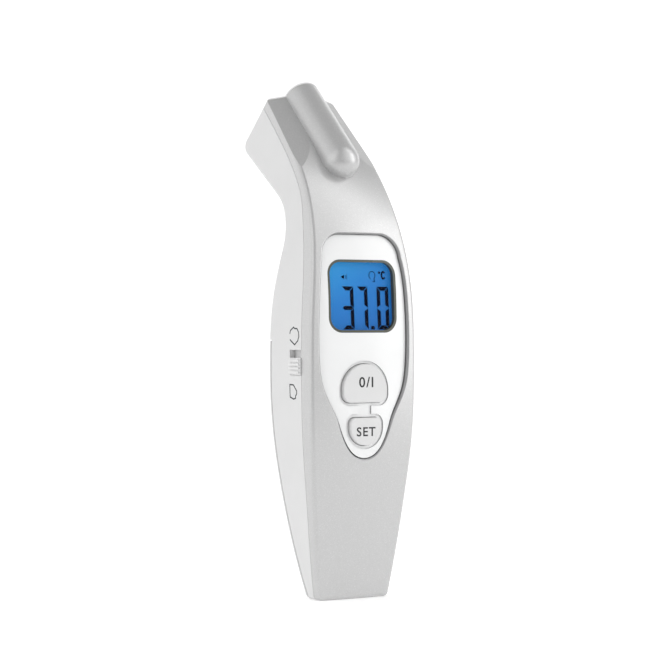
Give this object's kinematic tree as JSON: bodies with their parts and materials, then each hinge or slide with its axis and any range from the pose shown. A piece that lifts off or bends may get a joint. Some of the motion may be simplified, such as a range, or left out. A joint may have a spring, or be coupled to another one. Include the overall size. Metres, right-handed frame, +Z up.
{
  "type": "non-contact infrared forehead thermometer",
  "caption": "Hand-held infrared thermometer: slim handle, head bent back with a sensor tube ridge, recessed panel with lit display, push buttons, side mode switch and battery door.",
  "frame": {"origin": "middle of the flat base end of the handle", "axes": "+Z up the handle, -Y the front with the display, +X towards the plain cheek; the mode switch is on the -X cheek and the sensor looks up and back (+Y, +Z)"},
  "size_m": [0.0395, 0.0524, 0.164],
  "materials": {
    "shell_silver": "satin",
    "shell_light": "satin",
    "panel_white": "gloss",
    "bezel_grey": "satin",
    "lens_clear": "clear",
    "black_rubber": "matt",
    "lcd_blue": "gloss",
    "diffuser_white": "matt",
    "frame_white": "matt",
    "strip_grey": "matt",
    "board_green": "satin",
    "chip_black": "matt",
    "screw_steel": "satin",
    "buzzer_black": "matt",
    "button_grey": "satin",
    "key_metal": "satin",
    "key_black": "matt",
    "knob_grey": "satin",
    "tray_grey": "matt",
    "cell_jacket": "gloss",
    "spring_nickel": "polished",
    "contact_nickel": "satin",
    "horn_gold": "polished",
    "can_nickel": "satin",
    "filter_dark": "gloss",
    "holder_black": "matt",
    "ribbon_amber": "satin"
  },
  "bodies": {
    "casing": {"front_shell": "shell_silver", "rear_shell": "shell_light", "end_ring": "shell_light", "face_panel": "panel_white", "window_bezel": "bezel_grey", "display_lens": "lens_clear", "display_gasket": "black_rubber", "lcd_glass": "lcd_blue", "lcd_backlight": "diffuser_white", "lcd_frame": "frame_white", "contact_strip": "strip_grey", "main_board": "board_green", "board_chips": "chip_black", "board_screws": "screw_steel", "buzzer": "buzzer_black", "power_key_base": "key_metal", "set_key_base": "key_metal", "mode_switch": "key_metal", "battery_tray": "tray_grey", "cell_left": "cell_jacket", "cell_right": "cell_jacket", "battery_springs": "spring_nickel", "contact_bridge": "contact_nickel", "contact_plates": "contact_nickel", "collecting_horn": "horn_gold", "horn_seal": "black_rubber", "thermopile_can": "can_nickel", "sensor_filter": "filter_dark", "sensor_board": "board_green", "sensor_holder": "holder_black", "sensor_ribbon": "ribbon_amber", "shell_screws": "screw_steel"},
    "power_button": {"power_button": "button_grey"},
    "power_key": {"power_key_pin": "key_black"},
    "set_button": {"set_button": "button_grey"},
    "set_key": {"set_key_pin": "key_black"},
    "mode_slide": {"mode_knob": "knob_grey", "mode_slider": "key_black"},
    "battery_door": {"battery_door": "shell_light"}
  },
  "joints": [
    {"name": "power_press", "type": "slide", "parent": "casing", "child": "power_button", "axis": [0, 1, 0], "range_m": [0, 0.0005], "stiffness_N_per_m": 700, "springref_m": -0.0005},
    {"name": "power_key_press", "type": "slide", "parent": "casing", "child": "power_key", "axis": [0, 1, 0], "range_m": [0, 0.0005]},
    {"name": "set_press", "type": "slide", "parent": "casing", "child": "set_button", "axis": [0, 1, 0], "range_m": [0, 0.0005], "stiffness_N_per_m": 700, "springref_m": -0.0005},
    {"name": "set_key_press", "type": "slide", "parent": "casing", "child": "set_key", "axis": [0, 1, 0], "range_m": [0, 0.0005]},
    {"name": "mode_slide", "type": "slide", "parent": "casing", "child": "mode_slide", "axis": [0, 0, 1], "range_m": [0, 0.0023]},
    {"name": "door_slide", "type": "slide", "parent": "casing", "child": "battery_door", "axis": [0, 0, -1], "range_m": [0, 0.012]}
  ],
  "couplings": [
    {"joint": "power_key_press", "follows": "power_press", "ratio": 1},
    {"joint": "set_key_press", "follows": "set_press", "ratio": 1}
  ]
}
